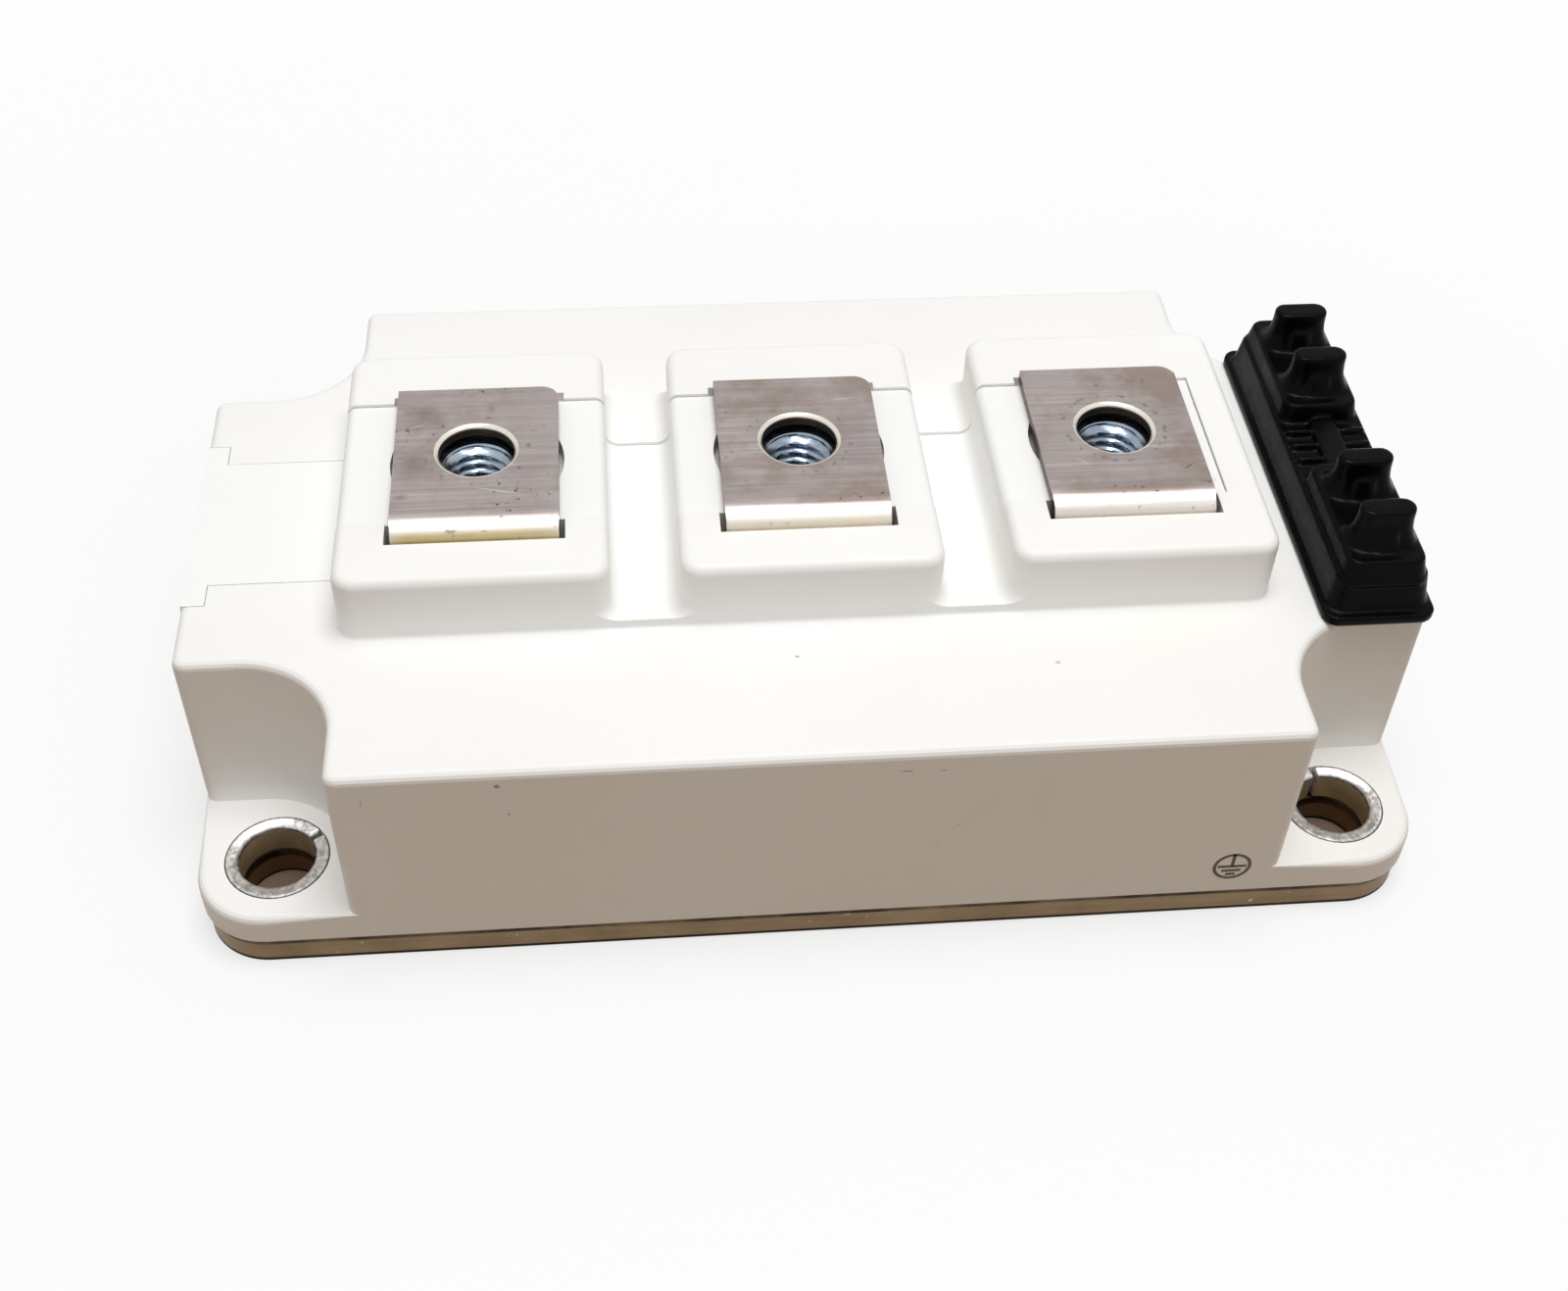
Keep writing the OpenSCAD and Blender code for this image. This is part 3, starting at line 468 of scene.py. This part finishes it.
def soften_case(width, fine):
    """Soft edges of that width outside, a fine share of it in slots and inside, and none along some feet."""
    node = nodes["housing"]
    clean_faces(node)
    f = Fields("edge_widths")
    place = f.group.nodes.new("GeometryNodeInputPosition").outputs[0]
    mirrored = f.add("ShaderNodeVectorMath", "ABSOLUTE", place)
    angle, signed_angle = f.group.nodes.new("GeometryNodeInputMeshEdgeAngle").outputs[:2]
    all_x, all_y, all_z = (-1, 60), (-1, 40), (0, 40)
    fine_boxes = [(place, ((x - 8, x + 8), (-11.2, 9.4), all_z)) for x in (-PITCH, 0, PITCH)]
    fine_boxes += [  # after the terminals' slots
        (place, ((-60, 45), (-8.3, 8.3), all_z)),  # the carrier's channel
        (place, ((-60, -50), (-10.9, 10.9), all_z)),  # its mouth, for the carrier's flange
        (place, ((-38.5, 38.5), (8, 13.8), (0, 28.2))),  # the hollows under the blocks' backs
        (mirrored, ((0, 38.6), (0, 29.1), (-1, 22))),  # the room for the circuit
        (mirrored, ((0, 51.6), (0, 15.8), (-1, 22))),  # its two ends
        (mirrored, (all_x, all_y, (20.5, 21.5))),  # its ceiling
        (mirrored, (all_x, all_y, (-1, 3.5))),  # the rim on the baseplate
        (mirrored, ((45.5, 51), (4, 16.3), (20, 30))),  # the bosses under the cap
    ]
    from_screw = f.add("ShaderNodeVectorMath", "SUBTRACT", mirrored, (SCREW_X * MM, SCREW_Y * MM, 0))
    from_screw = f.add("ShaderNodeVectorMath", "MULTIPLY", from_screw, (1, 1, 0))
    away = f.group.nodes.new("ShaderNodeVectorMath")
    away.operation = "LENGTH"
    f.group.links.new(from_screw, away.inputs[0])
    small = f.maths("LESS_THAN", away.outputs["Value"], 5 * MM)
    for where, spans in fine_boxes:
        small = f.maths("MAXIMUM", small, f.inside(where, spans))
    flange_top = (5.8, 6.2)
    bare_boxes = (
        ((51.9, 53.5), (15.9, 17.6), flange_top),  # where the end walls meet the flange
        ((38.9, 40.1), (29.5, 30.8), flange_top),  # where the long walls meet it
        ((8.0, 20.0), (13.2, 15.4), (24.05, 25.5)),  # the ends of the valleys' fillets
        ((-1, 41), (-1, 16.2), (23.15, 23.6)),  # the fillet along the blocks' foot
    )
    bare = 0.0
    for spans in bare_boxes:
        bare = f.maths("MAXIMUM", bare, f.inside(mirrored, spans))
    concave = f.maths("LESS_THAN", signed_angle, 0.0)
    bare = f.maths("MAXIMUM", bare,
                   f.maths("MULTIPLY", concave, f.inside(mirrored, (all_x, all_y, flange_top))))
    valley_edge = f.inside(mirrored, ((9, 19), (13, 16), (23.9, 24.3)))
    size = f.maths("MULTIPLY", f.maths("SUBTRACT", 1.0, f.maths("MULTIPLY", small, 1 - fine)),
                   f.maths("SUBTRACT", 1.0, f.maths("MULTIPLY", valley_edge, 0.7)))
    size = f.maths("MULTIPLY", size, f.maths("SUBTRACT", 1.0, bare))
    sharp = f.maths("GREATER_THAN", angle, SHARP)
    weight = f.store("FLOAT", "bevel_weight_edge", f.maths("MULTIPLY", size, sharp))
    crisp = f.store("BOOLEAN", "sharp_edge", f.maths("MULTIPLY", sharp, f.maths("LESS_THAN", size, 0.01)))
    start = f.group.nodes.new("NodeGroupInput")
    end = f.group.nodes.new("NodeGroupOutput")
    f.group.links.new(start.outputs[0], weight.inputs["Geometry"])
    f.group.links.new(weight.outputs[0], crisp.inputs["Geometry"])
    f.group.links.new(crisp.outputs[0], end.inputs[0])
    node.modifiers.new("edge_widths", "NODES").node_group = f.group
    bevel = round_edges(node, width, 4)
    bevel.limit_method, bevel.use_clamp_overlap = "WEIGHT", False


soften_case(0.75, 0.05)
soften("nut_carrier", 0.035)
soften("baseplate", 0.3)
for name in nodes:
    if name.startswith("terminal"):
        soften(name, 0.24, 3, dissolve=False)
    elif name.startswith("sleeve"):
        soften(name, 0.3, 3)
    elif name.startswith("control"):
        soften(name, 0.08)


# ---- Pieces made here ----

def new_piece(name, shape, slot, material, *stands_for, crease=None):
    """Turns a bmesh in millimetres into a piece that rides on the part."""
    bmesh.ops.recalc_face_normals(shape, faces=shape.faces)
    bmesh.ops.scale(shape, vec=(MM, MM, MM), verts=shape.verts)
    mesh = bpy.data.meshes.new(name)
    shape.to_mesh(mesh)
    shape.free()
    mesh.polygons.foreach_set("use_smooth", [True] * len(mesh.polygons))
    if crease:
        mesh.set_sharp_from_angle(angle=math.radians(crease))
    mesh.materials.append(material.material)
    piece = bpy.data.objects.new(name, mesh)
    bpy.context.collection.objects.link(piece)
    if stands_for:
        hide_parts(*stands_for)
    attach(piece, "root")
    return piece


def tube_of_rings(shape, rings):
    """Joins closed rings of points, the last one back to the first, into one skin."""
    made = [[shape.verts.new(point) for point in ring] for ring in rings]
    count = len(rings[0])
    for a, b in zip(made, made[1:] + made[:1]):
        for i in range(count):
            j = (i + 1) % count
            shape.faces.new((a[i], a[j], b[j], b[i]))


def threaded_nut(name, node):
    """Hexagon nut with a real M6 thread and lead-ins, on the CAD nut's box."""
    lo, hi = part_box(node)
    middle = [(lo[a] + hi[a]) / 2 / MM for a in AXES]
    low, high = lo[2] / MM, hi[2] / MM
    across = min(hi[0] - lo[0], hi[1] - lo[1]) / MM
    side, corner, chamfer = across / 2, across / math.sqrt(3), 0.5
    thread_pitch, minor, major, lead_in, steps, around = 1.0, 2.46, 3.02, 0.1, 60, 96
    flank, crest = 1.35, 0.12  # slope of the thread's flanks, and how much of them its crest cuts off
    corners_on_y = (hi[0] - lo[0]) <= (hi[1] - lo[1])

    def hexagon(a):
        """Distance from the axis to the hexagon's side in that direction."""
        part = (a + (math.pi / 6 if corners_on_y else 0)) % (math.pi / 3) - math.pi / 6
        return side / math.cos(part)

    rings = []
    angles = [2 * math.pi * i / around for i in range(around)]
    for k in range(steps + 1):
        z = low + (high - low) * k / steps
        ring = []
        for a in angles:
            phase = ((z - low) / thread_pitch - a / (2 * math.pi)) % 1.0
            tooth = min(max(flank * (1 - 2 * abs(phase - 0.5)) - crest, 0.0), 1.0)
            r = minor + (major - minor) * tooth
            r = max(r, major + lead_in - (z - low), major + lead_in - (high - z))
            ring.append((middle[0] + r * math.cos(a), middle[1] + r * math.sin(a), z))
        rings.append(ring)
    flat = side - 0.1  # radius of the flat ring on each end
    for end, sign in ((high, -1), (low, 1)):
        circle = [(middle[0] + flat * math.cos(a), middle[1] + flat * math.sin(a), end) for a in angles]
        edge = [(middle[0] + hexagon(a) * math.cos(a), middle[1] + hexagon(a) * math.sin(a),
                 end + sign * chamfer * (hexagon(a) - flat) / (corner - flat)) for a in angles]
        rings += [circle, edge] if end == high else [edge, circle]
    shape = bmesh.new()
    tube_of_rings(shape, rings)
    return new_piece(name, shape, "zinc_steel", zinc, node, crease=28)


for i in (1, 2, 3):
    threaded_nut("threaded_nut_%d" % i, "nut_%d" % i)


def round_rectangle(l, w, r, z, x, y):
    """Points round a rectangle with soft corners, w along X and l along Y."""
    points, steps = [], 6
    r = min(r, l / 2 - 0.01, w / 2 - 0.01)
    for quarter, (sx, sy) in enumerate(((1, 1), (-1, 1), (-1, -1), (1, -1))):
        for k in range(steps + 1):
            a = math.pi / 2 * (quarter + k / steps)
            points.append((x + sx * (w / 2 - r) + r * math.cos(a), y + sy * (l / 2 - r) + r * math.sin(a), z))
    return points


def lofted(shape, *levels, x, y):
    """Closed solid through levels of (height, length, width, corner radius)."""
    rings = [[shape.verts.new(p) for p in round_rectangle(l, w, r, z, x, y)] for z, l, w, r in levels]
    for a, b in zip(rings, rings[1:]):
        for i in range(len(a)):
            j = (i + 1) % len(a)
            shape.faces.new((a[i], a[j], b[j], b[i]))
    shape.faces.new(list(reversed(rings[0])))
    shape.faces.new(rings[-1])


def baked(obj):
    """The object with its modifiers made real."""
    graph = bpy.context.evaluated_depsgraph_get()
    mesh = bpy.data.meshes.new_from_object(obj.evaluated_get(graph))
    obj.modifiers.clear()
    obj.data = mesh


def rubber_cap():
    """Moulded cap over the control tabs, remeshed so that every step and upstand flows into the next."""
    lo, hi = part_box("esd_cap")
    x, deck, top = (lo[0] + hi[0]) / 2 / MM, lo[2] / MM, hi[2] / MM
    tabs = [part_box("control_tab_%d" % i) for i in (1, 2, 3, 4)]
    rows = [(t[0][1] + t[1][1]) / 2 / MM for t in tabs]
    pairs = (rows[0] + rows[1]) / 2, (rows[2] + rows[3]) / 2
    shape = bmesh.new()

    def solid(*levels, y=0.0, dx=0.0):
        """Levels are (height above the deck, length, width, corner radius)."""
        lofted(shape, *[(deck + z, l, w, r) for z, l, w, r in levels], x=x + dx, y=y)

    # the flange, and the body on it
    solid((0, 37.6, 9.8, 1.4), (0.95, 37.6, 9.8, 1.4))
    solid((0, 35.8, 9.0, 1.4), (0.9, 35.8, 9.0, 1.4), (2.0, 35.3, 8.5, 1.3), (4.0, 34.7, 7.9, 1.2))
    # the upper step over each pair of tabs
    for y in pairs:
        solid((3.5, 14.3, 7.6, 1.1), (4.1, 13.9, 7.2, 1.1), (5.75, 13.1, 6.7, 1.1), y=y)
    # the bar between the pairs, and its ribs
    solid((3.5, 7.0, 2.7, 0.6), (4.7, 6.6, 2.3, 0.6))
    for y in (-1.9, 0.0, 1.9):
        for dx in (-2.5, 2.5):
            solid((3.5, 0.8, 2.4, 0.3), (4.65, 0.62, 2.2, 0.3), y=y, dx=dx)
    # the upstand over each tab, and the web along its foot
    for y in rows:
        solid((5.4, 4.6, 6.6, 1.6), (5.9, 3.9, 6.1, 1.6), (6.5, 3.0, 5.45, 1.3), (7.2, 2.45, 5.05, 1.1),
              (8.0, 2.2, 4.9, 1.05), (top - deck + 0.1, 2.1, 4.85, 1.0), y=y)
        solid((5.4, 4.8, 2.2, 0.4), (6.3, 3.8, 2.1, 0.4), (7.5, 2.9, 1.9, 0.4), y=y)
    piece = new_piece("soft_cap", shape, "black_rubber", rubber, "esd_cap")
    # one skin, melted a little
    remesh = piece.modifiers.new("one_skin", "REMESH")
    remesh.mode, remesh.voxel_size, remesh.use_smooth_shade = "VOXEL", 0.17 * MM, True
    smooth = piece.modifiers.new("melt", "SMOOTH")
    smooth.factor, smooth.iterations = 0.5, 7
    baked(piece)
    # the room inside for the bosses, and a slot for each tab
    cutter = bmesh.new()
    for y in pairs:
        lofted(cutter, (deck - 1, 11.4, 5.2, 1.0), (deck + 4.55, 11.4, 5.2, 1.0), x=x, y=y)
    for y in rows:
        lofted(cutter, (deck + 4, 1.04, 3.0, 0.1), (tabs[0][1][2] / MM + 0.12, 1.04, 3.0, 0.1), x=x, y=y)
    tool = new_piece("cap_room", cutter, "black_rubber", rubber)
    cut = piece.modifiers.new("room", "BOOLEAN")
    cut.object, cut.operation, cut.solver = tool, "DIFFERENCE", "EXACT"
    baked(piece)
    bpy.data.objects.remove(tool)


rubber_cap()


def earth_symbol(x, z, y, radius, line):
    """The protective-earth sign, printed on the wall at y: a ring, a stem and three bars."""
    shape = bmesh.new()
    thick = 0.02
    ring = [2 * math.pi * i / 64 for i in range(64)]

    def loop(r, depth):
        return [(x + r * math.cos(a), y - depth, z + r * math.sin(a)) for a in ring]

    tube_of_rings(shape, [loop(radius, 0), loop(radius, thick), loop(radius - line, thick),
                          loop(radius - line, 0)])
    bars = [(0.5 * radius, line, radius), (0, 1.5 * radius, line), (-0.33 * radius, radius, line),
            (-0.62 * radius, 0.5 * radius, line)]
    for dz, w, h in bars:
        corners = [(x + sx * w / 2, y - d, z + dz + sz * h / 2)
                   for d in (0, thick) for sx, sz in ((-1, -1), (1, -1), (1, 1), (-1, 1))]
        v = [shape.verts.new(c) for c in corners]
        for face in ((0, 1, 2, 3), (7, 6, 5, 4), (0, 4, 5, 1), (1, 5, 6, 2), (2, 6, 7, 3), (3, 7, 4, 0)):
            shape.faces.new([v[i] for i in face])
    new_piece("earth_sign", shape, "case_plastic", ink, crease=30)


earth_symbol(x=35.6, z=6.4, y=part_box("housing")[0][1] / MM, radius=1.7, line=0.3)


# ---- Camera, floor, light ----

camera = bpy.data.objects.new("camera", bpy.data.cameras.new("camera"))
bpy.context.collection.objects.link(camera)
camera.location = (-0.0154, -0.1338, 0.1417)  # fitted to the photo's view, in metres and degrees
camera.rotation_euler = tuple(math.radians(a) for a in (44.48, -1.39, -4.85))
camera.data.lens = 45.65
camera.data.sensor_width = 36
camera.data.clip_start, camera.data.clip_end = 0.01, 20
bpy.context.scene.camera = camera

sheet = bmesh.new()
bmesh.ops.create_grid(sheet, x_segments=1, y_segments=1, size=2.0)  # metres, from the middle
mesh = bpy.data.meshes.new("floor")
sheet.to_mesh(mesh)
sheet.free()
floor = bpy.data.objects.new("floor", mesh)
bpy.context.collection.objects.link(floor)


def floor_paint(base_lo, base_hi, corner):
    """White where it is looked at, warm in the light that it throws back, and dark under the part.

    The three lengths are in metres: the base's two corners and the radius of its own corners.
    """
    p = Paint("pale_floor", Specular_IOR_Level=0.0)
    half = [(hi - lo) / 2 - corner for lo, hi in zip(base_lo, base_hi)]
    beyond = [p.maths("MAXIMUM", p.maths("SUBTRACT", p.maths("ABSOLUTE", p.parts()[a]), half[a]), 0.0)
              for a in (0, 1)]
    away = p.maths("SUBTRACT", p.reach(*beyond), corner)
    rays = p.add("ShaderNodeLightPath").outputs
    seen = p.maths("MINIMUM", 1.0, p.maths("ADD", rays["Is Camera Ray"], p.maths(
        "ADD", rays["Is Glossy Ray"], rays["Is Transmission Ray"])))
    tone = p.ramp(p.noise(3, 2), (0.3, 0.97), (0.7, 1.0))
    bare = p.mix(1.0, p.mix(seen, FLOOR_BOUNCE, (0.95, 0.95, 0.95, 1)), tone, "MULTIPLY")
    p.colour(p.mix(p.maths("LESS_THAN", away, 0.0), bare, srgb(128, 108, 94)))
    p.rough(p.ramp(p.noise(40, 2), (0.3, 0.8), (0.7, 0.9)))
    shadow_width = 0.2
    near = p.ramp(p.maths("DIVIDE", away, shadow_width), (0.0, 0.66), (0.25, 0.85), (1.0, 1.0))
    glow = p.product(near, p.maths("GREATER_THAN", away, 0.0), seen)
    white = p.add("ShaderNodeEmission", Color=(1, 1, 1, 1), Strength=1.0)
    blend = p.add("ShaderNodeMixShader", Fac=glow)
    p.tree.links.new(p.shader.outputs[0], blend.inputs[1])
    p.tree.links.new(white.outputs[0], blend.inputs[2])
    p.tree.links.new(blend.outputs[0], p.tree.nodes["Material Output"].inputs["Surface"])
    return p


floor.data.materials.append(floor_paint(*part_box("baseplate"), corner=0.0057).material)

# The world is white where it is looked at, also in metal, and lights the part only a little.
world = bpy.data.worlds.new("studio")
bpy.context.scene.world = world
world.use_nodes = True
sky = world.node_tree
rays = sky.nodes.new("ShaderNodeLightPath").outputs
looking = rays["Is Camera Ray"]
for ray in ("Is Glossy Ray", "Is Transmission Ray"):
    either = sky.nodes.new("ShaderNodeMath")
    either.operation, either.use_clamp = "ADD", True
    sky.links.new(looking, either.inputs[0])
    sky.links.new(rays[ray], either.inputs[1])
    looking = either.outputs[0]
ambient = sky.nodes["Background"]
ambient.inputs["Color"].default_value = (1.0, 0.99, 0.97, 1)
ambient.inputs["Strength"].default_value = 0.35
backdrop = sky.nodes.new("ShaderNodeBackground")
backdrop.inputs["Strength"].default_value = 1.0
pick = sky.nodes.new("ShaderNodeMixShader")
sky.links.new(looking, pick.inputs["Fac"])
sky.links.new(ambient.outputs[0], pick.inputs[1])
sky.links.new(backdrop.outputs[0], pick.inputs[2])
sky.links.new(pick.outputs[0], sky.nodes["World Output"].inputs["Surface"])


def lamp(name, place, size, power, colour):
    """A rectangular lamp that points at the part, with its place and size in metres."""
    light = bpy.data.lights.new(name, "AREA")
    light.shape, light.size, light.size_y = "RECTANGLE", size[0], size[1]
    light.energy, light.color = power, colour
    thing = bpy.data.objects.new(name, light)
    bpy.context.collection.objects.link(thing)
    thing.location = place
    thing.rotation_euler = (-Vector(place)).to_track_quat("-Z", "Y").to_euler()


lamp("overhead", (0.035, -0.04, 0.55), (0.3, 0.26), 2.08, (0.98, 0.985, 1.0))

bpy.context.scene.view_settings.view_transform = "Standard"
